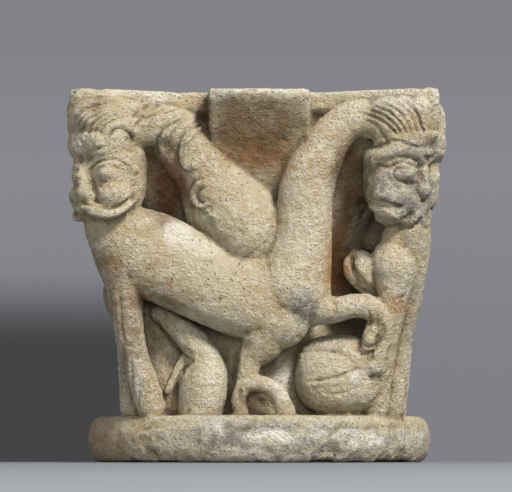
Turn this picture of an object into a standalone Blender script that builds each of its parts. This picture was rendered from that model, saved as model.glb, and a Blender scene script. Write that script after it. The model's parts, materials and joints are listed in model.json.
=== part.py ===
# Limestone capital carved with crossing long-necked beasts, one stone with its necking ring.
# Metres, +Z up, the front face looks along -Y, the origin is the middle of the lower bed.
import math

import bmesh
import bpy
from mathutils import Matrix, Vector

# Driving sizes
capital_height = 0.300
abacus_width = 0.302
abacus_thickness = 0.013
abacus_chamfer = 0.0065
abacus_hollow = 0.036          # how far each side of the abacus curves in at its middle
corner_cut = 0.006             # length cut off each tip of the abacus
console_width = 0.080
console_projection = 0.148     # from the axis to the console's front
console_depth = 0.085          # how far down the console's sloping front reaches
console_taper = 0.026          # how much narrower the console's foot is
console_splay = 0.0065         # how much wider each side of the console is at the back
console_set_back = 0.010       # how far the console's foot is cut back under the bell's lip
console_root = 0.055           # from the axis to where the console is let into the bell
ring_radius = 0.1446
ring_height = 0.038
ring_bed_radius = 0.133        # flat part of the ring's underside
ring_shoulder = 0.004          # how much smaller the flat part of its top is
neck_radius = 0.098            # the bell just above the ring
bell_waist = 0.092             # the bell at mid height
bell_lip = 0.108               # half the width of the bell under the abacus
grain = 0.0022                 # finest form that the solid keeps
facet_count = 9600
ring_fullness = 0.85            # 1 is a half round, less is squarer
bell_round_share = 0.45        # share of the bell's height that stays round
console_foot_share = 0.35      # share of the console's taper that its foot has already lost
console_curve = 0.8            # 1 is a straight sloping front, less is fuller

# The carving is set out in millimetres on a stone 302 wide and 300 high with a 38 high ring,
# and is scaled to the sizes above. A point is (across, out from the axis, up, radius).
drawn_half_width = 151.0
drawn_waist = 92.0
drawn_height = 300.0
drawn_ring = 38.0


def smooth_step(low, high, value):
    t = min(1.0, max(0.0, (value - low) / (high - low)))
    return t * t * (3 - 2 * t)


def across_scale():
    return abacus_width / 2 / drawn_half_width


def set_out(across, out, up, relief=1.0):
    """A drawn point as a point of the front face. Relief draws it in towards the bell."""
    scale = across_scale()
    kept = drawn_waist + (out - drawn_waist) * relief if out > drawn_waist else out
    rise = (up - drawn_ring) / (drawn_height - drawn_ring)
    return Vector((across * scale, -kept * scale, ring_height + rise * (capital_height - ring_height)))


# Beast one of a face: rump under the left head, body, and the neck that rises to the right head.
crossing_body = [(-123, 122, 206, 20), (-116, 118, 192, 26), (-99, 115, 176, 33), (-80, 113, 166, 35),
                 (-55, 112, 153, 34), (-28, 112, 139, 32), (0, 113, 133, 34), (27, 112, 140, 33)]
crossing_neck = [(28, 108, 142, 32), (35, 110, 172, 26), (38, 113, 200, 23), (41, 116, 225, 22),
                 (50, 119, 247, 20), (63, 122, 266, 17), (82, 125, 278, 16), (104, 122, 275, 18)]
hind_leg = [(-105, 112, 160, 23), (-107, 110, 134, 15), (-104, 106, 108, 12), (-99, 102, 84, 11),
            (-92, 98, 62, 12), (-87, 96, 46, 12)]
standing_leg = [(16, 111, 120, 29), (6, 113, 103, 20), (2, 112, 93, 16.5), (-5, 112, 82, 10.5),
                (-7.5, 112, 72, 8.5), (-9, 112, 58, 9)]
raised_leg = [(44, 110, 126, 16), (62, 118, 123, 11), (78, 119, 126, 10), (93, 117, 124, 10),
              (102, 114, 114, 9), (104, 110, 100, 8)]
# Beast two: head at the left corner, neck and chest behind beast one, bent leg below the belly.
behind_neck = [(-96, 122, 271, 18), (-78, 121, 273, 18), (-62, 117, 267, 19), (-49, 111, 250, 22),
               (-35, 104, 228, 28), (-20, 99, 204, 34), (-8, 98, 190, 34)]
bent_leg = [(-80, 94, 122, 8), (-62, 98, 107, 10), (-47, 100, 91, 13), (-42, 100, 75, 17),
            (-44, 100, 60, 20), (-46, 98, 46, 19)]
mane_edge = [(-76, 118, 262, 13), (-66, 113, 247, 13), (-54, 107, 230, 13), (-47, 102, 210, 14),
             (-44, 98, 188, 13)]
plain_foot = [(-9, 112, 60, 9.5), (-7, 113, 44, 11)]
side_forms = {"crossing_body": crossing_body, "crossing_neck": crossing_neck, "hind_leg": hind_leg,
              "standing_leg": standing_leg, "raised_leg": raised_leg, "behind_neck": behind_neck,
              "mane_edge": mane_edge, "bent_leg": bent_leg}
# The right side's rump keeps clear of the front's pocket.
right_body = [(-120, 128, 206, 16), (-112, 127, 192, 20), (-97, 124, 176, 25), (-80, 120, 165, 29),
              (-55, 116, 153, 32)] + crossing_body[5:]
plain_forms = {**side_forms, "plain_foot": plain_foot}
right_forms = {**plain_forms, "crossing_body": right_body}
# Only the finished front has these.
front_forms = {
    "right_column": [(127, 106, 204, 15), (122, 104, 184, 20), (118, 99, 162, 21), (116, 92, 136, 18),
                     (113, 85, 107, 15), (110, 77, 75, 15), (107, 70, 46, 15)],
    "corner_strip": [(-126, 104, 196, 16), (-120, 92, 170, 15), (-110, 82, 138, 13),
                     (-106, 76, 106, 12), (-104, 72, 72, 11), (-103, 70, 46, 11)],
    "cavity_back": [(-86, 76, 122, 15), (-78, 72, 96, 18), (-72, 72, 70, 20), (-70, 74, 46, 19)],
    "shin_ridge": [(-60, 98, 84, 4), (-67, 99, 70, 3.5), (-73, 99, 58, 3)],
    "tail_tuft": [(93, 102, 140, 5), (90, 106, 149, 8), (87, 107, 158, 9), (85, 104, 166, 7)],
    "tail_side": [(86, 102, 140, 4), (77, 103, 150, 4.5), (74, 102, 161, 4.5), (79, 100, 170, 4)],
    "left_toe": [(-11, 114, 60, 7), (-15, 116, 50, 6), (-13, 117, 42, 6)],
    "right_toe": [(-6, 114, 63, 8), (7, 117, 62, 7), (17, 117, 54, 7), (23, 116, 42, 8)],
    "inner_claw": [(97, 114, 113, 7), (91, 115, 102, 6), (89, 114, 94, 5)],
    "lower_claw": [(102, 110, 98, 7), (100, 110, 88, 6), (96, 108, 78, 8)]}
body_flatness = 0.68           # a body's thickness out from the bell against its height
leg_flatness = 0.9
chest_flatness = 0.8
limb_flatness = {"crossing_body": body_flatness, "hind_leg": leg_flatness, "standing_leg": chest_flatness}
# Fruit and its knuckle: centre, then radii.
fruit = [((66, 89, 71), (36, 31, 33)), ((94, 105, 77), (8, 7, 8))]
fruit_squareness = 2.5

# A corner head is set out the same way, looking out along the stone's diagonal.
# Each mass is (sideways, forward, up, radius sideways, radius forward, radius up).
head_out = 118 * math.sqrt(2)
head_squareness = 2.9
head_masses = [(0, -1, 233, 29, 25, 35), (0, -3, 276, 32, 34, 21), (0, 15, 281, 17, 24, 15),
               (0, 6, 258, 28, 25, 15)]
head_chin = (0, 6, 202, 21, 18, 10)
head_pairs = [(18, 15, 232, 9, 7, 7), (19, 12, 215, 14, 12, 12), (5, 25, 213, 5, 5, 5),
              (8, 24, 257, 7, 6, 7), (25, 13, 259, 8, 8, 8)]
head_limbs = [
    [(0, 22, 244, 5), (0, 26, 230, 5), (0, 27, 218, 7)],
    [(0, 26, 207, 5), (12, 24, 202, 5), (20, 17, 200, 5), (26, 4, 206, 4)],
    [(4, 23, 244, 4), (15, 19, 250, 5), (24, 12, 248, 5), (30, -2, 241, 4)]]
chin_line = 238                # below this a head's face is tucked in, by the share given for its corner

# Each side: quarter turn, relief, forms, whether the fruit shows, then its left head's
# reach along the diagonal, breadth, tuck and the chin's breadth.
sides = [(0, 1.0, {**side_forms, **front_forms}, True, 3, 1.0, 0.05, 1.0),
         (1, 1.0, right_forms, True, 1, 1.08, 0.36, 0.72),
         (2, 0.8, plain_forms, True, 0, 1.0, 0.05, 1.0),
         (3, 0.45, plain_forms, False, 0, 1.0, 0.05, 1.0)]


def clear_scene():
    for obj in list(bpy.data.objects):
        bpy.data.objects.remove(obj)


def add_mesh(name, bm):
    mesh = bpy.data.meshes.new(name)
    bm.to_mesh(mesh)
    bm.free()
    obj = bpy.data.objects.new(name, mesh)
    carving.objects.link(obj)
    return obj


def add_ball(name, centre, radii, turn=Matrix.Identity(3), squareness=2.0):
    """A ball, or with a higher squareness a block with round edges."""
    bm = bmesh.new()
    bmesh.ops.create_uvsphere(bm, u_segments=24, v_segments=16, radius=1.0)
    for vert in bm.verts:
        length = sum(abs(c) ** squareness for c in vert.co) ** (1 / squareness)
        vert.co /= length
    obj = add_mesh(name, bm)
    scale = Matrix.Diagonal(Vector(radii)).to_4x4()
    obj.matrix_basis = Matrix.Translation(centre) @ turn.to_4x4() @ scale
    return obj


def add_limb(name, knots, flatness=1.0):
    """A limb through (place, radius) knots, with a ball at each end. Flatness thins it along Y."""
    curve = bpy.data.curves.new(name, "CURVE")
    curve.dimensions = "3D"
    curve.bevel_depth = 1.0
    curve.bevel_resolution = 5
    curve.resolution_u = 6
    curve.use_fill_caps = True
    spline = curve.splines.new("BEZIER")
    spline.radius_interpolation = "CARDINAL"
    spline.bezier_points.add(len(knots) - 1)
    for point, (place, radius) in zip(spline.bezier_points, knots):
        point.co = (place.x, place.y / flatness, place.z)
        point.radius = radius
        point.handle_left_type = point.handle_right_type = "AUTO"
    obj = bpy.data.objects.new(name, curve)
    obj.scale = (1, flatness, 1)
    carving.objects.link(obj)
    made = [obj]
    for end, (place, radius) in (("first", knots[0]), ("last", knots[-1])):
        made.append(add_ball(f"{name}_{end}", place, (radius, radius * flatness, radius)))
    return made


def side_inset(along):
    """How far the abacus side lies inside its corner line, at a share of -1 to 1 along the side."""
    return abacus_hollow * math.cos(along * math.pi / 2) ** 1.3


def abacus_outline(grow=0.0, steps=12):
    """Plan of the abacus: four hollow sides and cut tips."""
    half = abacus_width / 2 + grow
    reach = half - corner_cut
    points = []
    for quarter in range(4):
        turn = Matrix.Rotation(quarter * math.pi / 2, 2)
        for i in range(steps + 1):
            along = -1 + 2 * i / steps
            points.append(turn @ Vector((along * reach, -half + side_inset(along))))
    return points


def add_loft(name, rings):
    """A closed solid through rings that all have the same number of points."""
    bm = bmesh.new()
    loops = [[bm.verts.new(p) for p in ring] for ring in rings]
    count = len(loops[0])
    for lower, upper in zip(loops, loops[1:]):
        for i in range(count):
            j = (i + 1) % count
            bm.faces.new((lower[i], lower[j], upper[j], upper[i]))
    bm.faces.new(reversed(loops[0]))
    bm.faces.new(loops[-1])
    return add_mesh(name, bm)


def build_bell():
    """The plain core, round at the ring and spreading to the hollow-sided abacus."""
    abacus_foot = capital_height - abacus_thickness
    rise = abacus_foot - ring_height
    plan = abacus_outline()
    rings = []
    layers = 14
    plan_lip = abacus_width / 2 - abacus_hollow
    for k in range(layers + 1):
        share = k / layers
        waist = neck_radius + (bell_waist - neck_radius) * math.sin(share * math.pi)
        spread = smooth_step(bell_round_share, 1.0, share)
        ring = []
        for p in plan:
            round_point = p.normalized() * (waist + (bell_lip - waist) * spread)
            square_point = p * (bell_lip / plan_lip)
            q = round_point.lerp(square_point, spread ** 1.5)
            ring.append((q.x, q.y, ring_height / 2 + (rise + ring_height / 2) * share))
        rings.append(ring)
    add_loft("bell", rings)


def build_abacus():
    foot = capital_height - abacus_thickness
    rings = []
    for grow, height in ((-abacus_chamfer, foot - abacus_chamfer), (0.0, foot), (0.0, capital_height + grain)):
        rings.append([(p.x, p.y, height) for p in abacus_outline(grow)])
    add_loft("abacus", rings)


def build_ring():
    """The necking ring, a full round moulding turned from its profile."""
    middle = ring_height / 2
    bulge = ring_radius - ring_bed_radius
    profile = [(0.0, ring_height), (ring_bed_radius - ring_shoulder, ring_height)]
    for k in range(1, 12):
        angle = math.pi / 2 - k * math.pi / 12
        reach = abs(math.cos(angle)) ** ring_fullness * bulge
        profile.append((ring_bed_radius + reach, middle + middle * math.sin(angle)))
    profile += [(ring_bed_radius, -grain), (0.0, -grain)]
    bm = bmesh.new()
    verts = [bm.verts.new((x, 0, z)) for x, z in profile]
    for a, b in zip(verts, verts[1:]):
        bm.edges.new((a, b))
    obj = add_mesh("necking_ring", bm)
    screw = obj.modifiers.new("turn", "SCREW")
    screw.steps = screw.render_steps = 96
    screw.use_merge_vertices = True
    screw.merge_threshold = 0.00005
    return obj


def build_console(turn):
    """The block at the middle of an abacus side, its front sloping back to the bell."""
    half_top = console_width / 2
    half_foot = half_top - console_taper
    top = capital_height + grain
    foot = capital_height - console_depth
    brow = capital_height - abacus_thickness / 2
    slope_steps = 6
    rings = []
    for k in range(slope_steps + 1):
        share = k / slope_steps
        half = half_foot + console_taper * min(1.0, console_foot_share + share)
        front = bell_lip - console_set_back * (1 - share)
        front += (console_projection - bell_lip) * share ** console_curve
        rings.append((half, front, foot + (brow - foot) * share))
    rings.append((half_top, console_projection, top))
    loops = []
    for half, front, height in rings:
        back = half + console_splay
        corners = ((-half, -front), (half, -front), (back, -console_root), (-back, -console_root))
        loops.append([turn @ Vector((x, y, height)) for x, y in corners])
    add_loft("console", loops)


def build_head(look, reach, breadth, tuck, chin):
    """One corner head. Look turns the drawn head to the stone's diagonal."""
    scale = across_scale()

    def place(side, forward, up):
        out = head_out + reach + forward - tuck * max(0.0, chin_line - up)
        return look @ Vector((side * breadth * scale, -out * scale, set_out(0, 0, up).z))

    for mass in [*head_masses, head_chin]:
        side, forward, up, *radii = mass
        wide = breadth * chin if mass is head_chin else breadth
        sizes = [radii[0] * wide * scale, radii[1] * scale, radii[2] * scale]
        add_ball("head_mass", place(side, forward, up), sizes, look, head_squareness)
    for side in (-1, 1):
        yaw = look @ Matrix.Rotation(side * math.radians(45), 3, "Z")
        for mass in head_pairs:
            centre = place(side * mass[0], mass[1], mass[2])
            add_ball("head_mass", centre, [r * scale for r in mass[3:]], yaw)
        for points in head_limbs:
            add_limb("head_limb", [(place(side * s, f, up), r * scale) for s, f, up, r in points])


def build_side(quarter, relief, forms, fruit_shows, reach, breadth, tuck, chin):
    """The two beasts of one side of the stone, its console and its left head."""
    turn = Matrix.Rotation(quarter * math.pi / 2, 4, "Z")
    scale = across_scale()
    made = []
    for name, points in forms.items():
        knots = [(set_out(x, out, up, relief), radius * scale) for x, out, up, radius in points]
        made += add_limb(f"{name}_{quarter}", knots, limb_flatness.get(name, 1.0))
    if fruit_shows:
        for place, radii in fruit:
            sizes = [r * scale for r in radii]
            centre = set_out(*place, relief)
            made.append(add_ball(f"fruit_{quarter}", centre, sizes, squareness=fruit_squareness))
    for obj in made:
        obj.matrix_basis = turn @ obj.matrix_basis
    build_console(turn.to_3x3())
    look = Matrix.Rotation(quarter * math.pi / 2 - math.pi / 4, 3, "Z")
    build_head(look, reach, breadth, tuck, chin)


def gather(name):
    """All the carving's forms as one mesh of overlapping closed shells."""
    bpy.context.view_layer.update()
    graph = bpy.context.evaluated_depsgraph_get()
    bm = bmesh.new()
    for obj in list(carving.objects):
        mesh = bpy.data.meshes.new_from_object(obj.evaluated_get(graph))
        mesh.transform(obj.matrix_world)
        bm.from_mesh(mesh)
        bpy.data.meshes.remove(mesh)
    for obj in list(carving.objects):
        bpy.data.objects.remove(obj)
    mesh = bpy.data.meshes.new(name)
    bm.to_mesh(mesh)
    bm.free()
    obj = bpy.data.objects.new(name, mesh)
    stone.objects.link(obj)
    return obj


def fuse(obj):
    """One skin over all the forms, softened, brought down to few facets, with flat beds."""
    remesh = obj.modifiers.new("fuse", "REMESH")
    remesh.mode = "VOXEL"
    remesh.voxel_size = grain
    soften = obj.modifiers.new("soften", "SMOOTH")
    soften.factor = 0.5
    soften.iterations = 6
    bpy.context.view_layer.update()
    graph = bpy.context.evaluated_depsgraph_get()
    fine = obj.evaluated_get(graph).to_mesh()
    fine.calc_loop_triangles()
    triangles = len(fine.loop_triangles)
    obj.evaluated_get(graph).to_mesh_clear()
    reduce = obj.modifiers.new("reduce", "DECIMATE")
    reduce.ratio = facet_count / triangles
    bm = bmesh.new()
    bmesh.ops.create_cube(bm, size=1.0)
    block = add_mesh("bed_block", bm)
    block.scale = (2 * abacus_width, 2 * abacus_width, capital_height)
    block.location = (0, 0, capital_height / 2)
    block.hide_render = True
    block.display_type = "WIRE"
    beds = obj.modifiers.new("beds", "BOOLEAN")
    beds.operation = "INTERSECT"
    beds.object = block


def limestone():
    material = bpy.data.materials.new("limestone")
    material.use_nodes = True
    shader = material.node_tree.nodes["Principled BSDF"]
    shader.inputs["Base Color"].default_value = (0.56, 0.49, 0.35, 1)
    shader.inputs["Roughness"].default_value = 0.9
    return material


clear_scene()
stone = bpy.data.collections.new("historiated_capital")
carving = bpy.data.collections.new("carving_forms")
bpy.context.scene.collection.children.link(stone)
bpy.context.scene.collection.children.link(carving)
build_bell()
build_abacus()
build_ring()
for side in sides:
    build_side(*side)
capital = gather("capital")
fuse(capital)
capital.data.materials.append(limestone())
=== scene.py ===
import json
import math

import bmesh
import bpy
import numpy as np
from mathutils import Matrix, Vector
from mathutils.bvhtree import BVHTree

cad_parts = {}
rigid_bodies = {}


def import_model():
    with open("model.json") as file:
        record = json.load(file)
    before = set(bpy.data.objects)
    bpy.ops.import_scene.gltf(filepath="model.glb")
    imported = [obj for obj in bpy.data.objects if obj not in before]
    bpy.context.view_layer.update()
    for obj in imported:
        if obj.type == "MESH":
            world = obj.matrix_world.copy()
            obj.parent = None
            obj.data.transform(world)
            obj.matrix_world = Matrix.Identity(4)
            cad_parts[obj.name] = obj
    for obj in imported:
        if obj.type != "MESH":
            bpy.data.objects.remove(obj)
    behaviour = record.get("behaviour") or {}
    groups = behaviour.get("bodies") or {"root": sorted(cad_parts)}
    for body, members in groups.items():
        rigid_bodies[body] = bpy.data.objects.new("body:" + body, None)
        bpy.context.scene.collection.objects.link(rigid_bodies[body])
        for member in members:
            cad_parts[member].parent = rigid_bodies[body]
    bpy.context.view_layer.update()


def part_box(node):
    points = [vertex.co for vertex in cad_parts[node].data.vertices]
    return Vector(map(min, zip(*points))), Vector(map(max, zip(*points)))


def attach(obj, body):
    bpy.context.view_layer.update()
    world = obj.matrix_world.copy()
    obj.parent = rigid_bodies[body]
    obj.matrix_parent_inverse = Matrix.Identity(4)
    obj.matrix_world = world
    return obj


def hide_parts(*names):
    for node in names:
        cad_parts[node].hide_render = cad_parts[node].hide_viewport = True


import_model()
low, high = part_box("capital")
scene = bpy.context.scene
print("frame loaded")

# long lens, low, a little to the right of the face
view = {"distance": 2.4, "azimuth": 1.0, "aside": -0.003, "height": 0.008, "focal": 2825,
        "across": 512, "down": 492, "horizon": 452.6, "sensor": 36}
turnIn = math.radians(view["azimuth"])
cameraData = bpy.data.cameras.new("camera")
cameraData.sensor_width = view["sensor"]
cameraData.lens = view["focal"] / view["across"] * view["sensor"]
camera = bpy.data.objects.new("camera", cameraData)
camera.location = (math.sin(turnIn) * view["distance"] + view["aside"],
                   -math.cos(turnIn) * view["distance"], view["height"])
tilt = math.atan((view["horizon"] - view["down"] / 2) / view["focal"])
camera.rotation_euler = (math.pi / 2 + tilt, 0, turnIn)
scene.collection.objects.link(camera)
scene.camera = camera
bpy.context.view_layer.update()

# The forms are drawn in millimetres, across, out and up, with a radius. Relief starts at flatOut.
drawing = {"halfWidth": 151, "height": 300, "ring": 38, "flatOut": 92}
stone = {"voxel": 0.0013, "soften": 5, "triangles": 194000, "halfWidth": 0.151, "hollow": 0.036,
         "cornerCut": 0.006, "slab": 0.013, "chamfer": 0.0065, "ring": 0.038, "ringOut": 0.1446,
         "ringBed": 0.133, "shoulder": 0.004, "fullness": 0.85, "neck": 0.098, "waist": 0.092,
         "lip": 0.108, "roundShare": 0.45, "hollowCurve": 1.3, "squareCurve": 1.5, "planSteps": 24,
         "bellSteps": 24, "ringSteps": 20, "turns": 180}
console = {"width": 0.080, "out": 0.148, "depth": 0.085, "taper": 0.026, "splay": 0.0065,
           "setBack": 0.010, "shift": 0.002, "root": 0.055, "footShare": 0.35, "curve": 0.8, "steps": 12}
height = float(high[2])
unit = stone["halfWidth"] / drawing["halfWidth"]
carving = bpy.data.collections.new("carvingForms")
scene.collection.children.link(carving)

# beast one: rump under the left head, body, neck rising to the right head
beastOne = {
    "body": [(-123, 122, 206, 20), (-116, 118, 192, 26), (-99, 115, 176, 33), (-80, 113, 166, 35),
             (-55, 112, 153, 34), (-28, 112, 139, 32), (0, 113, 133, 34), (27, 112, 140, 33)],
    "neck": [(28, 108, 142, 32), (35, 110, 172, 26), (38, 113, 200, 23), (41, 116, 225, 22),
             (50, 119, 247, 20), (63, 122, 266, 17), (82, 125, 278, 16), (104, 122, 275, 18)],
    "hindLeg": [(-105, 112, 160, 23), (-107, 110, 134, 15), (-104, 106, 108, 12),
                (-99, 102, 84, 11), (-92, 98, 62, 12), (-87, 96, 46, 12)],
    "standingLeg": [(16, 111, 120, 29), (6, 113, 103, 20), (2, 112, 93, 16.5), (-5, 112, 82, 10.5),
                    (-7.5, 112, 72, 8.5), (-9, 112, 58, 9)],
    "raisedLeg": [(44, 110, 126, 16), (62, 118, 123, 11), (78, 119, 126, 10), (93, 117, 124, 10),
                  (102, 114, 114, 9), (104, 110, 100, 8)]}
# beast two: head at the left corner, chest behind beast one, bent leg below the belly
beastTwo = {
    "chest": [(-96, 122, 271, 18), (-78, 121, 273, 18), (-62, 117, 267, 19), (-49, 111, 250, 22),
              (-35, 104, 228, 28), (-20, 99, 204, 34), (-8, 98, 190, 34)],
    "maneEdge": [(-76, 118, 262, 13), (-66, 113, 247, 13), (-54, 107, 230, 13), (-47, 102, 210, 14),
                 (-44, 98, 188, 13)],
    "bentLeg": [(-80, 94, 122, 8), (-62, 98, 107, 10), (-47, 100, 91, 13), (-42, 100, 75, 17),
                (-44, 100, 60, 20), (-46, 98, 46, 19)]}
# the right side's rump keeps clear of the front's pocket
rightBody = [(-120, 128, 206, 16), (-112, 127, 192, 20), (-97, 124, 176, 25), (-80, 120, 165, 29),
             (-55, 116, 153, 32)] + beastOne["body"][5:]
# only the finished front has these
frontOnly = {
    "rightColumn": [(127, 106, 204, 15), (122, 104, 184, 20), (118, 99, 162, 21), (116, 92, 136, 18),
                    (113, 85, 107, 15), (110, 77, 75, 15), (107, 70, 46, 15)],
    "cornerStrip": [(-126, 104, 196, 16), (-120, 92, 170, 15), (-110, 82, 138, 13),
                    (-106, 76, 106, 12), (-104, 72, 72, 11), (-103, 70, 46, 11)],
    "cavityBack": [(-86, 76, 122, 15), (-78, 72, 96, 18), (-72, 72, 70, 20), (-70, 74, 46, 19)],
    "shinRidge": [(-60, 98, 84, 4), (-67, 99, 70, 3.5), (-73, 99, 58, 3)],
    "tailTuft": [(93, 102, 140, 5), (90, 106, 149, 8), (87, 107, 158, 9), (85, 104, 166, 7)],
    "tailSide": [(86, 102, 140, 4), (77, 103, 150, 4.5), (74, 102, 161, 4.5), (79, 100, 170, 4)],
    "leftToe": [(-11, 114, 60, 7), (-15, 116, 50, 6), (-13, 117, 42, 6)],
    "rightToe": [(-6, 114, 63, 8), (7, 117, 62, 7), (17, 117, 54, 7), (23, 116, 42, 8)],
    "innerClaw": [(97, 114, 113, 7), (91, 115, 102, 6), (89, 114, 94, 5)],
    "lowerClaw": [(102, 110, 98, 7), (100, 110, 88, 6), (96, 108, 78, 8)]}
flatness = {"body": 0.68, "hindLeg": 0.9, "standingLeg": 0.8}
fruit = {"balls": [((66, 89, 71), (36, 31, 33)), ((94, 105, 77), (8, 7, 8))], "squareness": 2.5}
# a corner head, drawn sideways, forward and up along the stone's diagonal
head = {"out": 118 * math.sqrt(2), "squareness": 2.9, "chinLine": 238,
        "masses": [(0, -1, 233, 29, 25, 35), (0, -3, 276, 32, 34, 21), (0, 15, 281, 17, 24, 15),
                   (0, 6, 258, 28, 25, 15)],
        "chin": (0, 6, 202, 21, 18, 10),
        "pairs": [(18, 15, 232, 9, 7, 7), (19, 12, 215, 14, 12, 12), (5, 25, 213, 5, 5, 5)],
        "nose": [(0, 21, 244, 5), (0, 24, 230, 5), (0, 27, 217, 7)],
        "lips": [(0, 26, 207, 5), (12, 24, 202, 5), (20, 17, 200, 5), (26, 4, 206, 4)],
        "brow": [(4, 23, 244, 4), (15, 19, 250, 5), (24, 12, 248, 5), (30, -2, 241, 4)]}
shared = beastOne | beastTwo
plain = shared | {"plainFoot": [(-9, 112, 60, 9.5), (-7, 113, 44, 11)]}
# the front and the sides after it, right, back and left, each with the head at its left corner
plainHead = {"reach": 0, "breadth": 1.0, "tuck": 0.05, "chin": 1.0, "browDrop": 4}
sides = [{"relief": 1.0, "forms": shared | frontOnly, "fruit": True,
          "head": plainHead | {"reach": 3, "browDrop": 6}},
         {"relief": 1.0, "forms": plain | {"body": rightBody}, "fruit": True,
          "head": {"reach": 1, "breadth": 1.08, "tuck": 0.36, "chin": 0.72, "browDrop": 0}},
         {"relief": 0.8, "forms": plain, "fruit": True, "head": plainHead},
         {"relief": 0.45, "forms": plain, "fruit": False, "head": plainHead}]


def smoothStep(start, end, value):
    t = np.clip((value - start) / (end - start), 0, 1)
    return t * t * (3 - 2 * t)


def setOut(across, out, up, relief=1.0):
    flat = drawing["flatOut"]
    kept = flat + (out - flat) * relief if out > flat else out
    rise = (up - drawing["ring"]) / (drawing["height"] - drawing["ring"])
    return Vector((across * unit, -kept * unit, stone["ring"] + rise * (height - stone["ring"])))


def addMesh(name, bm):
    mesh = bpy.data.meshes.new(name)
    bm.to_mesh(mesh)
    bm.free()
    obj = bpy.data.objects.new(name, mesh)
    carving.objects.link(obj)
    return obj


def addBall(name, centre, radii, turn=Matrix.Identity(3), squareness=2.0):
    bm = bmesh.new()
    bmesh.ops.create_uvsphere(bm, u_segments=40, v_segments=24, radius=1.0)
    for vert in bm.verts:
        vert.co /= sum(abs(c) ** squareness for c in vert.co) ** (1 / squareness)
    obj = addMesh(name, bm)
    shape = Matrix.Diagonal(Vector(radii)).to_4x4()
    obj.matrix_basis = Matrix.Translation(centre) @ turn.to_4x4() @ shape
    return obj


def addLimb(name, knots, flat=1.0):
    curve = bpy.data.curves.new(name, "CURVE")
    curve.dimensions = "3D"
    curve.bevel_depth = 1.0
    curve.bevel_resolution = 10
    curve.resolution_u = 14
    curve.use_fill_caps = True
    spline = curve.splines.new("BEZIER")
    spline.radius_interpolation = "CARDINAL"
    spline.bezier_points.add(len(knots) - 1)
    for point, (place, radius) in zip(spline.bezier_points, knots):
        point.co = (place.x, place.y / flat, place.z)
        point.radius = radius
        point.handle_left_type = point.handle_right_type = "AUTO"
    obj = bpy.data.objects.new(name, curve)
    obj.scale = (1, flat, 1)
    carving.objects.link(obj)
    made = [obj]
    for end, (place, radius) in (("first", knots[0]), ("last", knots[-1])):
        made.append(addBall(name + end, place, (radius, radius * flat, radius)))
    return made


def addLoft(name, rings):
    bm = bmesh.new()
    loops = [[bm.verts.new(p) for p in ring] for ring in rings]
    count = len(loops[0])
    for lower, upper in zip(loops, loops[1:]):
        for i in range(count):
            j = (i + 1) % count
            bm.faces.new((lower[i], lower[j], upper[j], upper[i]))
    bm.faces.new(reversed(loops[0]))
    bm.faces.new(loops[-1])
    return addMesh(name, bm)


def slabOutline(grow=0.0):
    half = stone["halfWidth"] + grow
    reach = half - stone["cornerCut"]
    points = []
    for quarter in range(4):
        turn = Matrix.Rotation(quarter * math.pi / 2, 2)
        for i in range(stone["planSteps"] + 1):
            along = -1 + 2 * i / stone["planSteps"]
            inset = stone["hollow"] * max(0.0, math.cos(along * math.pi / 2)) ** stone["hollowCurve"]
            points.append(turn @ Vector((along * reach, -half + inset)))
    return points


def buildCore():
    foot = height - stone["slab"]
    rise = foot - stone["ring"]
    plan = slabOutline()
    rings = []
    for k in range(stone["bellSteps"] + 1):
        share = k / stone["bellSteps"]
        waist = stone["neck"] + (stone["waist"] - stone["neck"]) * math.sin(share * math.pi)
        spread = float(smoothStep(stone["roundShare"], 1.0, share))
        ring = []
        for p in plan:
            roundPoint = p.normalized() * (waist + (stone["lip"] - waist) * spread)
            squarePoint = p * (stone["lip"] / (stone["halfWidth"] - stone["hollow"]))
            q = roundPoint.lerp(squarePoint, spread ** stone["squareCurve"])
            ring.append((q.x, q.y, stone["ring"] / 2 + (rise + stone["ring"] / 2) * share))
        rings.append(ring)
    addLoft("bell", rings)
    chamfer = stone["chamfer"]
    rings = []
    for grow, z in ((-chamfer, foot - chamfer), (0.0, foot), (0.0, height)):
        rings.append([(p.x, p.y, z) for p in slabOutline(grow)])
    addLoft("slab", rings)
    middle = stone["ring"] / 2
    bulge = stone["ringOut"] - stone["ringBed"]
    profile = [(0.0, stone["ring"]), (stone["ringBed"] - stone["shoulder"], stone["ring"])]
    for k in range(1, stone["ringSteps"]):
        angle = math.pi / 2 - k * math.pi / stone["ringSteps"]
        reach = abs(math.cos(angle)) ** stone["fullness"] * bulge
        profile.append((stone["ringBed"] + reach, middle + middle * math.sin(angle)))
    profile += [(stone["ringBed"], 0.0), (0.0, 0.0)]
    bm = bmesh.new()
    verts = [bm.verts.new((x, 0, z)) for x, z in profile]
    for a, b in zip(verts, verts[1:]):
        bm.edges.new((a, b))
    turned = addMesh("ring", bm).modifiers.new("turn", "SCREW")
    turned.steps = turned.render_steps = stone["turns"]
    turned.use_merge_vertices = True
    turned.merge_threshold = 0.00005


def buildConsole(turn):
    halfTop = console["width"] / 2
    halfFoot = halfTop - console["taper"]
    foot = height - console["depth"]
    brow = height - stone["slab"] / 2
    rings = []
    for k in range(console["steps"] + 1):
        share = k / console["steps"]
        half = halfFoot + console["taper"] * min(1.0, console["footShare"] + share)
        front = stone["lip"] - console["setBack"] * (1 - share)
        front += (console["out"] - stone["lip"]) * share ** console["curve"]
        rings.append((half, front, foot + (brow - foot) * share))
    rings.append((halfTop, console["out"], height))
    loops = []
    for half, front, z in rings:
        back = half + console["splay"]
        corners = ((-half, -front), (half, -front), (back, -console["root"]), (-back, -console["root"]))
        loops.append([turn @ Vector((x + console["shift"], y, z)) for x, y in corners])
    addLoft("console", loops)


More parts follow.
